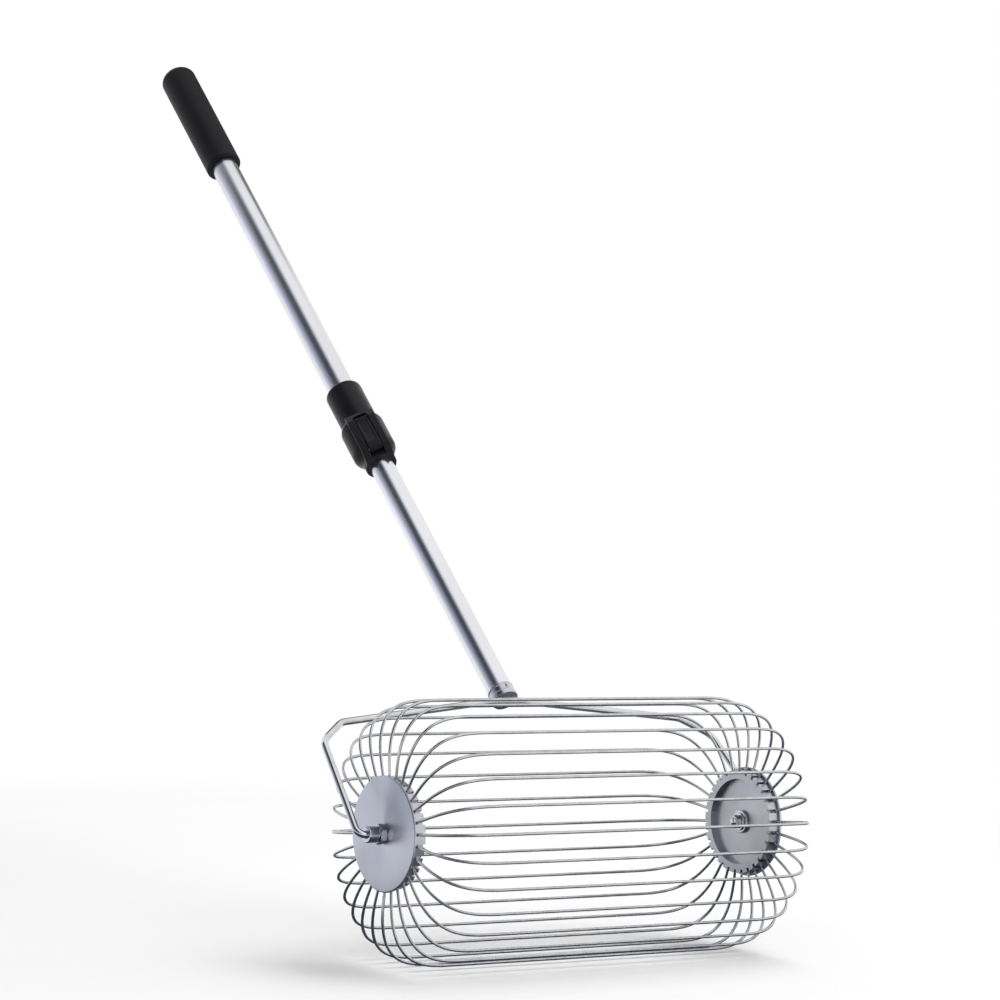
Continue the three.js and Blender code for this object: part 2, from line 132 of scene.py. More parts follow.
def ringOutline(bore, radius, low, high, edge, boreEdge=0.2, steps=4):
    # a tube or a washer, with the same corners at both ends
    return filleted(mirrored([(bore, low, boreEdge), (radius, low, edge)], (low + high) / 2), steps)


def turned(name, outline, origin, axis, segments, flats=None):
    # the outline's (radius, height) points carried round the axis
    angle = np.linspace(0, 2 * math.pi, segments, endpoint=False)[None, :]
    # the first spoke lies towards x, or towards y round an axis that runs along x
    first = across if abs(axis[0]) < 0.5 else np.array([0.0, 1.0, 0.0])
    first = unit(first - (first @ axis) * axis)
    second = np.cross(axis, first)
    radius, height, angle = np.broadcast_arrays(outline[:, :1], outline[:, 1:], angle)
    if flats:
        # six flats hold the radius in, so the turned ends of the outline become the chamfers
        turn = np.mod(angle + math.pi / 6, math.pi / 3) - math.pi / 6
        radius = np.minimum(radius, flats / 2 / np.cos(turn))
    spoke = np.cos(angle)[..., None] * first + np.sin(angle)[..., None] * second
    grid = origin + mm * (height[..., None] * axis + radius[..., None] * spoke)
    return gridMesh(name, grid, closeRows=True)


def rodAlong(name, route, slope, out, side, values, rim=0.14):
    # a round section carried along a flat route of (x, out) points
    # the cut ends close in over a short rim, whose size is a share of the radius
    radius = values["radius"]
    path = route[:, :1] * across + route[:, 1:] * out
    tangent = slope[:, :1] * across + slope[:, 1:] * out
    first, last = path[:1], path[-1:]
    path = np.concatenate([first, first, first + tangent[:1] * radius * rim, path[1:-1],
                           last - tangent[-1:] * radius * rim, last, last])
    tangent = np.concatenate([tangent[:1], tangent[:1], tangent, tangent[-1:], tangent[-1:]])
    size = np.full(len(path), radius)
    size[[0, -1]] = 0
    size[[1, -2]] *= 1 - rim
    angle = np.linspace(0, 2 * math.pi, values["segments"], endpoint=False)[None, :, None]
    over = np.cross(tangent, side)
    spoke = np.cos(angle) * side + np.sin(angle) * over[:, None]
    return gridMesh(name, cageCentre + mm * (path[:, None] + size[:, None, None] * spoke), sharp=50)


# shader graphs written as expressions

class Link:
    # a socket that carries a number: arithmetic on it adds Math nodes
    def __init__(self, graph, socket):
        self.graph, self.socket = graph, socket

    def math(self, operation, *others):
        return self.graph.put("ShaderNodeMath", {"operation": operation}, dict(enumerate((self,) + others)))

    def __add__(self, other):
        return self.math("ADD", other)

    def __sub__(self, other):
        return self.math("SUBTRACT", other)

    def __mul__(self, other):
        return self.math("MULTIPLY", other)

    __radd__ = __add__

    def above(self, low, high):
        # 0 under low, 1 over high, smooth between
        sockets = {"Value": self, "From Min": low, "From Max": high}
        return self.graph.put("ShaderNodeMapRange", {"interpolation_type": "SMOOTHSTEP"}, sockets)


class Graph:
    # a node tree with one output: its nodes are put in by type, settings and sockets
    def __init__(self, tree, outputKind):
        self.tree = tree
        tree.nodes.clear()
        self.output = tree.nodes.new(outputKind)

    def put(self, kind, settings=None, sockets=None, output=0):
        node = self.tree.nodes.new(kind)
        for key, value in (settings or {}).items():
            setattr(node, key, value)
        for key, value in (sockets or {}).items():
            self.feed(node.inputs[key], value)
        return Link(self, node.outputs[output])

    def feed(self, socket, value):
        if isinstance(value, Link):
            self.tree.links.new(value.socket, socket)
        else:
            socket.default_value = value

    def show(self, surface):
        self.feed(self.output.inputs["Surface"], surface)

    def vector(self, operation, *values):
        output = "Value" if operation in ("LENGTH", "DOT_PRODUCT") else "Vector"
        return self.put("ShaderNodeVectorMath", {"operation": operation}, dict(enumerate(values)), output)

    def noise(self, at, scale, detail, roughness):
        sockets = {"Vector": at, "Scale": scale, "Detail": detail, "Roughness": roughness}
        return self.put("ShaderNodeTexNoise", None, sockets, "Fac")

    def mix(self, factor, first, second):
        return self.put("ShaderNodeMix", {"data_type": "RGBA"}, {0: factor, 6: first, 7: second}, 2)

    def seen(self):
        # 1 where it is looked at, straight, mirrored or through glass, and 0 where it only gives light
        camera, mirror, glass = [self.put("ShaderNodeLightPath", output=f"Is {kind} Ray")
                                 for kind in ("Camera", "Glossy", "Transmission")]
        return camera.math("MAXIMUM", mirror).math("MAXIMUM", glass)


class Finish(Graph):
    # one material round a principled shader
    def __init__(self, name):
        self.material = bpy.data.materials.new(name)
        self.material.use_nodes = True
        super().__init__(self.material.node_tree, "ShaderNodeOutputMaterial")
        self.shader = self.tree.nodes.new("ShaderNodeBsdfPrincipled")
        self.lit = Link(self, self.shader.outputs["BSDF"])
        self.show(self.lit)
        self.place = self.put("ShaderNodeTexCoord", output="Object")

    def stretched(self, stretch, turn=(0, 0, 0), centre=(0, 0, 0)):
        # coordinates turned into the piece's own axes first, then stretched along them
        lined = self.put("ShaderNodeMapping", {"vector_type": "TEXTURE"},
                         {"Vector": self.place, "Location": centre, "Rotation": turn})
        return self.put("ShaderNodeMapping", None, {"Vector": lined, "Scale": stretch})

    def bump(self, height, values):
        sockets = {"Height": height, "Distance": values["depth"], "Strength": values["bump"]}
        self.feed(self.shader.inputs["Normal"], self.put("ShaderNodeBump", None, sockets))

    def set(self, **values):
        for key, value in values.items():
            self.feed(self.shader.inputs[key.replace("_", " ")], value)
        return self.material


def grey(level, warmth=0.0):
    return (level * (1 + warmth), level, level * (1 - warmth), 1)


# in a look each noise is (scale, detail, roughness), and each edge the two levels between which it rises to 1

wireLook = {"lines": (900, 4, 0.5), "lineStretch": (0.03, 1, 1), "cloud": (18, 4, 0.6),
            "cloudStretch": (4, 1, 1), "cloudEdge": (0.35, 0.75), "cloudHaze": 0.14, "spots": (240, 3, 0.5),
            "spotEdge": (0.62, 0.74), "spotDepth": 0.3, "spotHaze": 0.12, "depth": 0.00004, "bump": 0.35,
            "light": grey(0.64, -0.012), "dark": grey(0.50, -0.015), "roughness": 0.15}
rodLook = {**wireLook, "light": grey(0.74, -0.012), "dark": grey(0.60, -0.015), "depth": 0.00002,
           "roughness": 0.05, "cloudHaze": 0.08}


def drawnSteel(name, values):
    # bright drawn wire: fine scratches lengthwise, cloudy handling marks
    finish = Finish(name)
    lines = finish.noise(finish.stretched(values["lineStretch"]), *values["lines"])
    cloud = finish.noise(finish.stretched(values["cloudStretch"]), *values["cloud"])
    spots = finish.noise(finish.place, *values["spots"]).above(*values["spotEdge"])
    colour = finish.mix(cloud.above(*values["cloudEdge"]), values["light"], values["dark"])
    finish.bump(lines + spots * values["spotDepth"], values)
    rough = values["roughness"] + cloud * values["cloudHaze"] + spots * values["spotHaze"]
    return finish.set(Base_Color=colour, Metallic=1.0, Roughness=rough)


# the sectors of a spun look are a painted reflection: soft darker sectors round the cage axis, painted into
# the colour
discLook = {"rings": (1500, 5, 0.7), "ringHaze": 0.14, "cloud": (14, 4, 0.55), "cloudEdge": (0.3, 0.75),
            "cloudHaze": 0.1, "marks": (160, 2, 0.5), "markEdge": (0.66, 0.78), "markDepth": 0.25,
            "depth": 0.00005, "bump": 0.4, "light": (0.68, 0.69, 0.77, 1), "dark": (0.40, 0.42, 0.49, 1),
            "roughness": 0.28, "reflectionShare": 0.72, "reflectionTurn": 2.25, "reflectionEdge": (-0.1, 0.9),
            "fainterReflection": 0.25, "fainterReflectionEdge": (-0.7, 0.5)}
# the nuts and rings take weaker sectors of the same painted reflection
nutLook = {**discLook, "rings": (2200, 5, 0.7), "cloud": (40, 4, 0.55), "marks": (300, 2, 0.5),
           "depth": 0.00004, "light": (0.70, 0.70, 0.74, 1), "dark": (0.46, 0.47, 0.50, 1),
           "roughness": 0.07, "reflectionShare": 0.3, "reflectionTurn": 0.6}
ringLook = {**nutLook, "cloud": (16, 4, 0.55), "light": (0.62, 0.62, 0.66, 1), "dark": (0.50, 0.51, 0.54, 1),
            "roughness": 0.24}


def spunSteel(name, values):
    # spun sheet and turned steel: rings round the cage axis, a soft haze and sectors of painted reflection
    finish = Finish(name)
    centred = finish.put("ShaderNodeMapping", None, {"Vector": finish.place, "Location": tuple(-cageCentre)})
    y, z = [finish.put("ShaderNodeSeparateXYZ", None, {0: centred}, part) for part in ("Y", "Z")]
    radius = (y * y + z * z).math("SQRT")
    rings = finish.noise(finish.put("ShaderNodeCombineXYZ", None, {0: radius}), *values["rings"])
    cloud = finish.noise(finish.place, *values["cloud"])
    marks = finish.noise(finish.place, *values["marks"]).above(*values["markEdge"])
    # a painted reflection: two soft darker sectors opposite each other, one of them fainter, painted into the
    # colour in place of the light and shade a spun face mirrors
    turn = z.math("ARCTAN2", y) - values["reflectionTurn"]
    both = (turn * 2.0).math("COSINE").above(*values["reflectionEdge"])
    strong = turn.math("COSINE").above(*values["fainterReflectionEdge"])
    paintedReflection = both * (values["fainterReflection"] + strong * (1 - values["fainterReflection"]))
    # the colour mixes a cloudy tone, which is the metal's own, with the painted reflection sectors
    toneAndReflection = cloud.above(*values["cloudEdge"]) * (1 - values["reflectionShare"]) + paintedReflection * values["reflectionShare"]
    colour = finish.mix(toneAndReflection, values["light"], values["dark"])
    finish.bump(rings + marks * values["markDepth"], values)
    rough = values["roughness"] + rings * values["ringHaze"] + cloud * values["cloudHaze"]
    return finish.set(Base_Color=colour, Metallic=1.0, Roughness=rough)


tubeLook = {"streaks": (420, 5, 0.65), "streakStretch": (1, 1, 0.012), "streakHaze": 0.16,
            "cloud": (9, 4, 0.55), "cloudStretch": (1, 1, 0.35), "cloudEdge": (0.32, 0.72), "cloudHaze": 0.08,
            "rubbed": (30, 3, 0.5), "rubbedEdge": (0.6, 0.76), "rubbedGloss": 0.07, "depth": 0.00003,
            "bump": 0.35, "light": (0.83, 0.83, 0.86, 1), "dark": (0.74, 0.74, 0.78, 1), "roughness": 0.12}


def brushedTube(name, values):
    # anodised aluminium tube: streaks drawn along the pole, a few rubbed patches
    finish = Finish(name)
    alongPole = {"turn": (-handleLean, 0, 0), "centre": tuple(cageCentre)}
    streaks = finish.noise(finish.stretched(values["streakStretch"], **alongPole), *values["streaks"])
    cloud = finish.noise(finish.stretched(values["cloudStretch"], **alongPole), *values["cloud"])
    rubbed = finish.noise(finish.place, *values["rubbed"]).above(*values["rubbedEdge"])
    colour = finish.mix(cloud.above(*values["cloudEdge"]), values["light"], values["dark"])
    finish.bump(streaks, values)
    rough = values["roughness"] + streaks * values["streakHaze"] + cloud * values["cloudHaze"]
    return finish.set(Base_Color=colour, Metallic=1.0, Roughness=rough - rubbed * values["rubbedGloss"])


plasticLook = {"grain": (1600, 3, 0.6), "grainHaze": 0.14, "cloud": (30, 4, 0.5), "cloudEdge": (0.3, 0.7),
               "cloudPale": 0.6, "rubbed": (70, 5, 0.7), "rubbedEdge": (0.58, 0.74), "rubbedPale": 0.4,
               "rubbedGloss": 0.06, "depth": 0.00008, "bump": 0.5, "light": (0.014, 0.014, 0.016, 1),
               "dark": (0.005, 0.005, 0.0065, 1), "roughness": 0.22, "specular": 0.17}


def mouldedPlastic(name, values):
    # black moulded nylon: fine spark grain, faint flow clouds, paler rubbed spots
    finish = Finish(name)
    grain = finish.noise(finish.place, *values["grain"])
    cloud = finish.noise(finish.place, *values["cloud"]).above(*values["cloudEdge"])
    rubbed = finish.noise(finish.place, *values["rubbed"]).above(*values["rubbedEdge"])
    pale = cloud * values["cloudPale"] + rubbed * values["rubbedPale"]
    colour = finish.mix(pale, values["dark"], values["light"])
    finish.bump(grain, values)
    rough = values["roughness"] + grain * values["grainHaze"] - rubbed * values["rubbedGloss"]
    return finish.set(Base_Color=colour, Roughness=rough, Specular_IOR_Level=values["specular"])


foamLook = {"cells": 900, "cellDepth": 0.7, "fine": (1400, 4, 0.65), "fineEdge": (0.4, 0.8), "finePale": 0.35,
            "fineDepth": 0.5, "fineHaze": 0.1, "dents": (60, 3, 0.5), "dentDepth": 1.4, "dust": (24, 5, 0.6),
            "dustEdge": (0.5, 0.8), "dustPale": 0.5, "depth": 0.0002, "bump": 0.6,
            "light": (0.014, 0.014, 0.017, 1), "dark": (0.004, 0.004, 0.0055, 1), "roughness": 0.42,
            "specular": 0.18}


def closedFoam(name, values):
    # closed cell foam: small round cells, soft dents and a dusty sheen
    finish = Finish(name)
    sockets = {"Vector": finish.place, "Scale": values["cells"]}
    cells = finish.put("ShaderNodeTexVoronoi", {"feature": "SMOOTH_F1"}, sockets, "Distance")
    fine = finish.noise(finish.place, *values["fine"])
    dents = finish.noise(finish.place, *values["dents"])
    dust = finish.noise(finish.place, *values["dust"]).above(*values["dustEdge"])
    pale = dust * values["dustPale"] + fine.above(*values["fineEdge"]) * values["finePale"]
    colour = finish.mix(pale, values["dark"], values["light"])
    height = cells * values["cellDepth"] + fine * values["fineDepth"] + dents * values["dentDepth"]
    finish.bump(height, values)
    rough = values["roughness"] + fine * values["fineHaze"]
    return finish.set(Base_Color=colour, Roughness=rough, Specular_IOR_Level=values["specular"])


wireFinish = drawnSteel("bright drawn wire", wireLook)
yokeFinish = drawnSteel("bright bent rod", rodLook)
discFinish = spunSteel("spun satin disc", discLook)
nutFinish = spunSteel("turned nut steel", nutLook)
ringFinish = spunSteel("stamped ring steel", ringLook)
tubeFinish = brushedTube("brushed aluminium tube", tubeLook)
plasticFinish = mouldedPlastic("black moulded nylon", plasticLook)
foamFinish = closedFoam("black closed cell foam", foamLook)
print("finishes ready")


def paint(piece, finish):
    piece.data.materials.clear()
    piece.data.materials.append(finish)


def place(piece, body, finish, slot, *replaced):
    paint(piece, finish)
    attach(piece, body)
    if replaced:
        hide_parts(*replaced)


# the cage wires

wire = {"count": 30, "radius": 1.6, "cage": 140, "seat": 54.2, "foot": 237.9, "straight": 171.5, "bulge": 12,
        "riseShare": 0.97, "shoulderShare": 0.62, "steps": 34, "segments": 14}


def wireRoute():
    # half a wire is a cubic curve from its foot, out past the disc and over the shoulder, as (x, radius)
    foot, seat, straight, cage = wire["foot"], wire["seat"], wire["straight"], wire["cage"]
    rise = wire["riseShare"] * (cage - seat)
    run = wire["shoulderShare"] * (foot - straight)
    p = np.array([[foot, seat], [foot + wire["bulge"], seat + rise],
                  [straight + run, cage], [straight, cage]])
    t = np.linspace(0, 1, wire["steps"])[:, None]
    curve = (1 - t) ** 3 * p[0] + 3 * t * (1 - t) ** 2 * p[1] + 3 * t ** 2 * (1 - t) * p[2] + t ** 3 * p[3]
    slope = (1 - t) ** 2 * (p[1] - p[0]) + 2 * t * (1 - t) * (p[2] - p[1]) + t ** 2 * (p[3] - p[2])
    curve = np.concatenate([curve, curve[::-1] * [-1, 1]])
    slope = np.concatenate([slope, slope[::-1] * [1, -1]])
    return curve, unit(slope)


def makeWires():
    route, slope = wireRoute()
    for i in range(wire["count"]):
        turn = 2 * math.pi * i / wire["count"]
        out = np.array([0, -math.sin(turn), math.cos(turn)])
        piece = rodAlong(f"round_wire_{i + 1:02d}", route, slope, out, np.cross(across, out), wire)
        place(piece, "cage", wireFinish, "wire_steel", f"wire_{i + 1:02d}")
    print("cage wires:", wire["count"])


# discs, nuts and bushes at both ends
# corners are (radius, height, rounding), with the height measured outwards along the cage axis

disc = {"steps": 6,
        "corners": ((7.8, 240.8, 0.2), (60.8, 240.8, 0.6), (61.2, 241.8, 0.8), (61.2, 243.1, 0.9),
                    (60.3, 244.0, 0.9), (7.8, 244.0, 0.2))}
bush = {"steps": 4,
        "corners": ((4.3, 231.5, 0.2), (13, 231.5, 0.6), (13, 235.0, 0.6), (7.4, 235.0, 0.2),
                    (7.4, 252.3, 0.7), (4.3, 252.3, 0.4))}
hubNut = {"bore": 7.7, "flats": 19, "low": 244.3, "high": 251.7}
keeperNut = {"bore": 4.3, "flats": 13, "low": 223.4, "high": 229.4}
nutForm = {"countersink": 0.5, "facing": 0.97, "fall": 0.09, "edge": 0.1, "flatEdge": 0.3, "steps": 3}
washer = {"bore": 4.3, "radius": 10, "low": 229.7, "high": 231.2, "edge": 0.3}
collar = {"bore": 4.3, "radius": 8.7, "low": 252.6, "high": 265.0, "edge": 1.1}
endSegments = {"disc": 192, "nut": 180, "small": 96}


def nutOutline(bore, flats, low, high):
    # from the flats outwards each face falls away, which cuts the corners round
    corner = flats / math.sqrt(3)
    facing, fall, sink = nutForm["facing"] * flats / 2, nutForm["fall"] * corner, nutForm["countersink"]
    edge, flatEdge = nutForm["edge"], nutForm["flatEdge"]
    half = [(bore, low + sink, edge), (bore + sink, low, edge), (facing, low, flatEdge),
            (corner, low + fall, edge)]
    return filleted(mirrored(half, (low + high) / 2), nutForm["steps"])


def makeEnd(side, axis):
    def fit(name, node, body, outline, size="small", finish=nutFinish, slot="nut_steel", flats=None):
        piece = turned(f"{side}_{name}", outline, cageCentre, axis, endSegments[size], flats)
        place(piece, body, finish, slot, f"{side}_{node}")

    plate = filleted(disc["corners"], disc["steps"])
    fit("cover_disc", "end_disc", "cage", plate, "disc", discFinish, "disc_steel")
    sleeve = filleted(bush["corners"], bush["steps"])
    fit("flanged_bush", "hub_bush", "cage", sleeve, slot="dark_steel")
    fit("lock_nut", "hub_nut", "cage", nutOutline(**hubNut), "nut", flats=hubNut["flats"])
    fit("end_nut", "keeper_nut", "frame", nutOutline(**keeperNut), "nut", flats=keeperNut["flats"])
    fit("thin_washer", "washer", "frame", ringOutline(**washer))
    fit("stop_collar", "collar", "frame", ringOutline(**collar))
    print(side, "hub pieces ready")


# the yoke rod

yoke = {"radius": 3.95, "rodEnd": 221.4, "steps": 12, "segments": 28,
        "corners": ((275, 0, 9), (262.5, 131, 22), (229, 157.5, 22), (21, 186, 60))}


def bentRoute(corners, steps):
    # straight lines joined by true arcs: (x, height, bend) corners give points and directions
    at = np.array([corner[:2] for corner in corners], float)
    points, slopes = [at[:1]], [at[1:2] - at[:1]]
    for i in range(1, len(at) - 1):
        inward, outward = unit(at[i] - at[i - 1]), unit(at[i + 1] - at[i])
        turn = math.atan2(inward[0] * outward[1] - inward[1] * outward[0], inward @ outward)
        bend = corners[i][2]
        start = at[i] - inward * bend * math.tan(abs(turn) / 2)
        normal = np.array([-inward[1], inward[0]]) * math.copysign(1, turn)
        angle = np.linspace(0, abs(turn), steps + 1)[:, None]
        points.append(start + bend * (np.sin(angle) * inward + (1 - np.cos(angle)) * normal))
        slopes.append(np.cos(angle) * inward + np.sin(angle) * normal)
    points.append(at[-1:])
    slopes.append(at[-1:] - at[-2:-1])
    return np.concatenate(points), unit(np.concatenate(slopes))


def makeYoke():
    half = [(yoke["rodEnd"], 0, 0), *yoke["corners"]]
    corners = [(-x, height, bend) for x, height, bend in half] + half[::-1]
    route, slope = bentRoute(corners, yoke["steps"])
    piece = rodAlong("bent_yoke_rod", route, slope, poleUp, poleBack, yoke)
    place(piece, "frame", yokeFinish, "wire_steel", "yoke_rod")
    print("yoke rod ready")


# the pole: socket, tubes and grip
# corners are (radius, height, rounding), with the height measured up the pole from the cage axis

# a stub with a waist between two rolled beads, and the spigot that the tube sits on
stub = {"segments": 128, "steps": 5,
        "corners": ((0, 187, 0), (15.4, 187, 1.4), (15.4, 193, 0.8), (14.4, 193.8, 0.4), (14.4, 199.8, 0.4),
                    (15.4, 200.6, 0.8), (15.4, 203, 0.7), (12.6, 203, 0.3), (12.6, 229, 0.8), (0, 229, 0))}
# a domed rivet through the waist: the back half of its outline, measured from its own middle
rivet = {"height": 198.0, "segments": 40, "steps": 4,
         "corners": ((0, -16, 0), (1.68, -16, 0.6), (2.4, -15, 0.5), (1.92, -13.4, 0.1))}
tubes = {"segments": 144,
         "lower": {"bore": 12.9, "radius": 14.3, "low": 203.3, "high": 780.0, "edge": 0.5},
         "upper": {"bore": 15.1, "radius": 16.5, "low": 602.3, "high": 1305.0, "edge": 0.5}}
grip = {"radius": 23, "low": 1122.3, "high": 1309.3, "bore": 16.8, "boreTop": 1305.3, "boreEdge": 0.8,
        "crown": 6.9, "crownRound": 4.761, "rim": 1.8, "skin": 2, "swell": 0.3, "segments": 160, "steps": 12}


def makePole():
    outline = filleted(stub["corners"], stub["steps"])
    piece = turned("round_socket", outline, cageCentre, poleUp, stub["segments"])
    place(piece, "frame", nutFinish, "nut_steel", "pole_socket")
    outline = filleted(mirrored(rivet["corners"]), rivet["steps"])
    middle = cageCentre + poleUp * rivet["height"] * mm
    piece = turned("socket_rivet", outline, middle, -poleBack, rivet["segments"])
    place(piece, "frame", nutFinish, "nut_steel")
    for key, body in (("lower", "frame"), ("upper", "upper_pole")):
        piece = turned(f"{key}_pole_tube", ringOutline(**tubes[key]), cageCentre, poleUp, tubes["segments"])
        place(piece, body, tubeFinish, "tube_aluminium", f"{key}_tube")
    print("pole tubes ready")


def gripOutline():
    # a foam sleeve: a round crown, a rolled rim at its mouth and a slight swell along its length
    radius, bore, crown, crownRound = grip["radius"], grip["bore"], grip["crown"], grip["crownRound"]
    low, high, boreTop = grip["low"], grip["high"], grip["boreTop"]
    corners = [(bore, low, grip["boreEdge"]), (radius, low, grip["rim"]), (radius, high - crown, crownRound),
               (radius - crown, high, crownRound), (0, high, 0), (0, boreTop, 0), (bore, boreTop, 0.3)]
    outline = filleted(corners, grip["steps"])
    drawnIn = grip["swell"] * (1 - np.sin(math.pi * ramp(outline[:, 1], low, high)))
    outline[:, 0] -= np.where(outline[:, 0] > bore + grip["skin"], drawnIn, 0)
    return outline


def makeGrip():
    piece = turned("foam_hand_grip", gripOutline(), cageCentre, poleUp, grip["segments"])
    place(piece, "upper_pole", foamFinish, "black_foam", "foam_grip")
    print("grip ready")


# the flip lock: neck and cheeks are (height, radius) and (height, reach towards the front)

lock = {"low": 566.0, "high": 695.0, "top": 5.0, "cheekHalf": 17.5, "slotHalf": 8.65, "slotHigh": 631.0,
        "slotFloor": 18.9, "boreLow": 14.6, "boreHigh": 16.8, "boreStep": 602.0, "edge": 0.9,
        "neck": ((566.0, 18.9), (567.2, 19.4), (576.0, 19.6), (580.0, 20.9), (584.0, 24.0), (587.0, 26.0),
                 (590.0, 26.8), (629.5, 26.8), (633.0, 25.6), (635.6, 22.9), (637.5, 22.6)),
        "cheeks": ((566.0, 19.4), (575.0, 26.6), (577.0, 27.0), (624.0, 27.0), (626.5, 26.7), (637.0, 22.6))}
# how finely the lock is cut: points along each part of its outline, and the distance between its stations
lockCut = {"floor": 8, "wall": 6, "face": 21, "back": 40, "top": 8, "station": 3.0, "gap": 0.02}


def lockSleeveRadius(height):
    # a narrow neck, a bevelled collar over the lever and a straight sleeve that rounds over at the top
    levels = np.array(lock["neck"])
    radius = np.interp(height, levels[:, 0], levels[:, 1])
    return radius - lock["top"] * fallen(height, lock["high"] - lock["top"], lock["high"])


def lockSection(height):
    # one outline round the lock, as (x, front): from the middle of the slot round the back and home again
    radius = float(lockSleeveRadius(height))
    half, slotHalf, edge = lock["cheekHalf"], lock["slotHalf"], lock["edge"]
    slotOpen = height < lock["slotHigh"]
    levels = np.array(lock["cheeks"])
    reach = float(np.interp(height, levels[:, 0], levels[:, 1], right=0))

    def front(x):
        # the flat cheeks stand out of the round collar, and fall away by a quarter circle at their edges
        fall = fallen(x, half - edge, half) + fallen(x, slotHalf + edge, slotHalf) * slotOpen
        return np.maximum(np.sqrt(np.maximum(radius ** 2 - x ** 2, 0)), reach - edge * fall)

    floorX = np.linspace(0, slotHalf, lockCut["floor"])
    floorY = np.full(lockCut["floor"], lock["slotFloor"]) if slotOpen else front(floorX)
    wallY = np.linspace(floorY[-1], front(slotHalf), lockCut["wall"])[1:]
    # the points of the face lie closer together towards its two rounded edges
    share = (1 - np.cos(np.linspace(0, math.pi, lockCut["face"])[1:])) / 2
    faceX = slotHalf + (half - slotHalf) * share
    sideY = np.linspace(front(half), math.sqrt(radius ** 2 - half ** 2), lockCut["wall"])[1:]
    angle = np.linspace(math.asin(half / radius), math.pi, lockCut["back"])[1:]
    x = [floorX, np.full(len(wallY), slotHalf), faceX, np.full(len(sideY), half), radius * np.sin(angle)]
    y = [floorY, wallY, front(faceX), sideY, radius * np.cos(angle)]
    x, y = np.concatenate(x), np.concatenate(y)
    return np.concatenate([x, -x[-2:0:-1]]), np.concatenate([y, y[-2:0:-1]])


def lockHeights():
    # stations up the lock, doubled where the slot stops
    topFrom = lock["high"] - lock["top"]
    even = np.arange(lock["low"], topFrom, lockCut["station"])
    top = topFrom + lock["top"] * np.sin(np.linspace(0, math.pi / 2, lockCut["top"]))
    corners = [level for level, _ in lock["neck"] + lock["cheeks"]]
    slotEnd = [lock["slotHigh"] - lockCut["gap"], lock["slotHigh"] + lockCut["gap"]]
    return np.unique(np.concatenate([even, top, corners, slotEnd]).round(3))


def makeLockBody():
    rows = [(*lockSection(height), height) for height in lockHeights()]
    # the bore comes back down inside, each of its points facing one on the outside
    angle = np.arctan2(rows[0][0], rows[0][1])
    for height, bore in ((lock["high"], "boreHigh"), (lock["boreStep"], "boreHigh"),
                         (lock["boreStep"], "boreLow"), (lock["low"], "boreLow")):
        rows.append((lock[bore] * np.sin(angle), lock[bore] * np.cos(angle), height))
    grid = [x[:, None] * lockAcross - front[:, None] * lockBack + height * poleUp
            for x, front, height in rows]
    piece = gridMesh("lock_sleeve", cageCentre + mm * np.array(grid), closeRows=True, sharp=32)
    place(piece, "upper_pole", plasticFinish, "black_plastic", "lock_body")


# a side view about the pivot, as (towards the front, height, rounding): heel, sloping face, tip and back
# camTurn is where the round cam begins and ends, in degrees, and its number of points
lever = {"halfWidth": 8.25, "sideShare": 0.999, "edge": 0.9, "columns": 33, "cam": 4.3,
         "camTurn": (180, 262, 9), "steps": 6,
         "corners": ((-0.6, -4.2, 0.1), (5.0, -2.6, 2.2), (5.0, 7.0, 4.0), (1.8, 44.0, 3.0),
                     (2.1, 49.5, 0.9), (1.2, 51.0, 0.8), (-4.3, 51.0, 1.2))}
# the dip in its face: each pair is where the dip begins and where it has its full depth
recess = {"depth": 0.7, "side": (5.4, 4.6), "low": (8, 12), "high": (44, 41), "front": (-1.3, 0.2)}
pin = {"radius": 2.0, "half": 17.5, "edge": 0.5, "steps": 4, "segments": 48}


def leverOutline():
    # the round cam stands for the first corner, which only gives the second one its direction
    angle = np.radians(np.linspace(*lever["camTurn"]))[:, None]
    cam = lever["cam"] * np.concatenate([np.cos(angle), np.sin(angle)], 1)
    return np.concatenate([cam, filleted(lever["corners"], lever["steps"])[lever["steps"] + 1:]])


def makeLever():
    outline = leverOutline()
    half = lever["halfWidth"]
    # the columns lie closer together towards both sides, and stop just inside them
    spread = np.sin(np.linspace(-1, 1, lever["columns"]) * math.pi / 2)
    x = half * lever["sideShare"] * spread[:, None]
    # near both sides the outline draws in, which rounds the edges
    along = np.roll(outline, -1, 0) - np.roll(outline, 1, 0)
    away = unit(np.stack([along[:, 1], -along[:, 0]], 1))
    inset = lever["edge"] * fallen(np.abs(x), half - lever["edge"], half)
    rows = outline[None] - inset[..., None] * away[None]
    # the face dips between two rails
    front, height = outline.T
    dip = ramp(np.abs(x), *recess["side"]) * ramp(front, *recess["front"])
    dip = dip * ramp(height, *recess["low"]) * ramp(height, *recess["high"])
    rows[..., 0] -= recess["depth"] * dip
    # both sides close in a fan round the outline's middle
    middle = np.broadcast_to(outline.mean(0), (1, len(outline), 2))
    rows = np.concatenate([middle, rows, middle])
    x = np.concatenate([x[:1], x, x[-1:]])[..., None]
    grid = leverPivot + mm * (x * lockAcross - rows[..., :1] * lockBack + rows[..., 1:] * poleUp)
    place(gridMesh("flip_lever", grid, sharp=32), "lock_lever", plasticFinish, "black_plastic", "lock_lever")


def makeLeverPin():
    half = [(0, -pin["half"], 0), (pin["radius"], -pin["half"], pin["edge"])]
    outline = filleted(mirrored(half), pin["steps"])
    piece = turned("hinge_pin", outline, leverPivot, lockAcross, pin["segments"])
    place(piece, "upper_pole", nutFinish, "nut_steel", "lever_pin")
    print("lock ready")


# these solids are shown as they are and only take a finish
plainNodes = {"left_notched_ring": ringFinish, "right_notched_ring": ringFinish, "clamp_shoe": nutFinish,
              "guide_bush": plasticFinish}

makeWires()
makeEnd("left", -across)
makeEnd("right", across)
makeYoke()
makePole()
makeGrip()
makeLockBody()
makeLever()
makeLeverPin()
for node, nodeFinish in plainNodes.items():
    paint(nodes[node], nodeFinish)


# floor, lights and camera

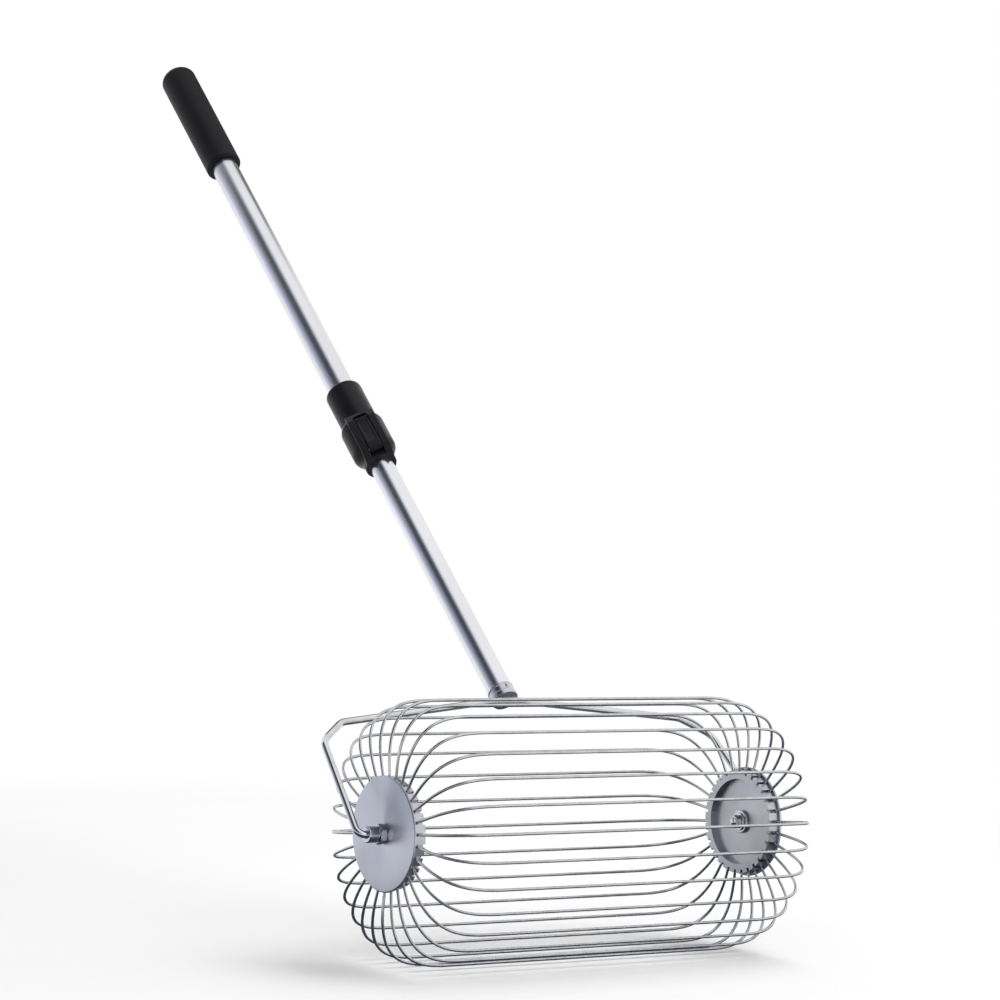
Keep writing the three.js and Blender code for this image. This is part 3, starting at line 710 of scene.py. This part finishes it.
floor = {"size": 60.0, "level": 0.95, "speckle": (40, 3, 0.5), "speckleShade": 0.98, "roughness": 0.9,
         "specular": 0.1, "fade": (0.5, 1.5)}
ambient = 0.45
lamps = {"key": {"power": 120, "size": 3.0, "at": (1.5, -0.5, 3.9)},
         "fill": {"power": 26, "size": 3.0, "at": (-2.6, -2.6, 2.2)}}
lampAim = (0.0, 0.0, 0.5)
# a dark panel curved round the pole, which only reflections see: (turn in degrees, brightness)
panel = {"radius": 2.5, "low": -2.6, "high": 4.2, "columns": 90, "tint": (0.9, 0.94, 1.15),
         "stops": ((104, 1.0), (117, 0.62), (127, 0.10), (140, 0.05), (160, 0.08), (180, 0.3), (198, 0.5),
                   (218, 0.78), (240, 1.0))}
# grey ones behind, which the edges of the wires and the yoke show
# lean and turn are where they begin and end, in degrees, and their number of lines
edgePanels = {"radius": 3.2, "brightness": 0.12,
              "low": {"lean": (46, 68, 8), "turn": (-75, 18, 40)},
              "high": {"lean": (56, 85, 8), "turn": (20, 60, 40)}}
# and a dark one on the floor, which darkens the undersides and grows pale away from the cage
groundPanel = {"height": 0.0006, "reach": 1.4, "squash": (0.5, 1.0, 1.0), "pale": (0.24, 0.6),
               "dark": (0.05, 0.06, 0.09, 1)}
view = {"lens": 118.758, "sensor": 36, "far": 200, "at": (-2.103, -3.3204, 0.5508),
        "aim": (-0.0747, -0.3612, 0.4938), "roll": 2.527}


def makeFloor():
    size, level = floor["size"], floor["level"]
    corners = [(-size, -size, 0), (size, -size, 0), (size, size, 0), (-size, size, 0)]
    mesh = bpy.data.meshes.new("pale floor")
    mesh.from_pydata(corners, [], [(0, 1, 2, 3)])
    finish = Finish("pale floor")
    speckle = finish.noise(finish.place, *floor["speckle"])
    colour = finish.mix(speckle, grey(level), grey(level * floor["speckleShade"]))
    mesh.materials.append(finish.set(Base_Color=colour, Roughness=floor["roughness"],
                                     Specular_IOR_Level=floor["specular"]))
    # away from the object the floor that is seen turns white, so that it has no far edge
    white = finish.put("ShaderNodeEmission", None, {"Color": grey(1.0), "Strength": 1.0})
    far = finish.seen() * finish.vector("LENGTH", finish.place).above(*floor["fade"])
    finish.show(finish.put("ShaderNodeMixShader", None, {0: far, 1: finish.lit, 2: white}))
    linked("pale_floor", mesh)


def makeWorld():
    # white wherever it is looked at, and dimmer as a light
    world = bpy.data.worlds.new("studio")
    bpy.context.scene.world = world
    world.use_nodes = True
    graph = Graph(world.node_tree, "ShaderNodeOutputWorld")
    sockets = {"Value": graph.seen(), "To Min": ambient, "To Max": 1.0}
    strength = graph.put("ShaderNodeMapRange", None, sockets)
    graph.show(graph.put("ShaderNodeBackground", None, {"Color": grey(1.0), "Strength": strength}))


def aimed(at, aim, roll=0.0):
    # looks from one point to the other with its top up, turned by roll degrees about the line of sight
    look = (Vector(aim) - Vector(at)).to_track_quat("-Z", "Y").to_matrix().to_4x4()
    return Matrix.Translation(at) @ look @ Matrix.Rotation(math.radians(roll), 4, "Z")


def makeLamp(name, power, size, at):
    lamp = bpy.data.lights.new(name, "AREA")
    lamp.size, lamp.energy = size, power
    holder = linked(name, lamp)
    holder.matrix_world = aimed(at, lampAim)
    # metal shows the white surroundings and the panels, not the lamps themselves
    holder.visible_glossy = False


def setPanel(card, finish, brightness):
    # black to every lamp and glowing by itself, for reflections alone
    card.data.materials.append(finish.set(Base_Color=grey(0), Roughness=1.0, Specular_IOR_Level=0.0,
                                          Emission_Color=brightness, Emission_Strength=1.0))
    card.visible_camera = card.visible_diffuse = card.visible_shadow = False


def makePanel():
    # at each turn the panel runs straight along the pole, at its radius from the pole's axis
    stops = panel["stops"]
    turn = np.radians(np.linspace(stops[0][0], stops[-1][0], panel["columns"]))[None, :, None]
    around = panel["radius"] * (np.cos(turn) * across - np.sin(turn) * poleBack)
    height = np.array([panel["low"], panel["high"]])[:, None, None]
    card = gridMesh("dark_panel", cageCentre + around + height * poleUp, closeCols=False)
    finish = Finish("dark panel")
    away = finish.vector("SUBTRACT", finish.place, tuple(cageCentre))
    sideways, forwards = [finish.vector("DOT_PRODUCT", away, tuple(line)) for line in (across, -poleBack)]
    # how far round the pole, from 0 to 1 for the full turn
    share = (forwards.math("ARCTAN2", sideways) * (0.5 / math.pi)).math("FLOORED_MODULO", 1.0)
    brightness = finish.put("ShaderNodeValToRGB", None, {"Fac": share})
    shades = brightness.socket.node.color_ramp
    while len(shades.elements) < len(stops):
        shades.elements.new(0.5)
    for element, (turnAt, level) in zip(shades.elements, stops):
        element.position = turnAt / 360
        # only the shades take the tint, the pale ends stay white
        tint = panel["tint"] if level < 1 else (1, 1, 1)
        element.color = (*[min(1.0, level * part) for part in tint], 1)
    setPanel(card, finish, brightness)


def makeEdgePanels():
    # parts of a sphere round the cage: lean is measured from the cage axis and turn round it
    for name in ("low", "high"):
        lean = np.radians(np.linspace(*edgePanels[name]["lean"]))[:, None, None]
        turn = np.radians(np.linspace(*edgePanels[name]["turn"]))[None, :, None]
        spoke = np.cos(turn) * np.array([0.0, 1.0, 0.0]) + np.sin(turn) * np.array([0.0, 0.0, 1.0])
        grid = cageCentre + edgePanels["radius"] * (np.cos(lean) * across + np.sin(lean) * spoke)
        card = gridMesh(f"{name}_grey_panel", grid, closeCols=False)
        setPanel(card, Finish(f"{name} grey panel"), grey(edgePanels["brightness"]))


def makeGroundPanel():
    # a square under the cage, whose dark middle is an ellipse twice as long along the cage axis
    x, y = cageCentre[0], cageCentre[1]
    side = np.array([-groundPanel["reach"], groundPanel["reach"]])
    grid = np.stack(np.broadcast_arrays(x + side[:, None], y + side[None], groundPanel["height"]), -1)
    card = gridMesh("ground_panel", grid, closeCols=False)
    finish = Finish("ground panel")
    away = finish.vector("SUBTRACT", finish.place, (x, y, 0))
    spread = finish.vector("LENGTH", finish.vector("MULTIPLY", away, groundPanel["squash"]))
    pale = spread.above(*groundPanel["pale"])
    setPanel(card, finish, finish.mix(pale, groundPanel["dark"], grey(1.0)))


def makeCamera():
    camera = bpy.data.cameras.new("photo view")
    camera.lens, camera.sensor_width, camera.clip_end = view["lens"], view["sensor"], view["far"]
    holder = linked("photo_view", camera)
    holder.matrix_world = aimed(view["at"], view["aim"], view["roll"])
    bpy.context.scene.camera = holder


makeFloor()
makeWorld()
for lampName, lampValues in lamps.items():
    makeLamp(lampName, **lampValues)
makePanel()
makeEdgePanels()
makeGroundPanel()
makeCamera()
bpy.context.scene.view_settings.view_transform = "Standard"
print("stage ready")
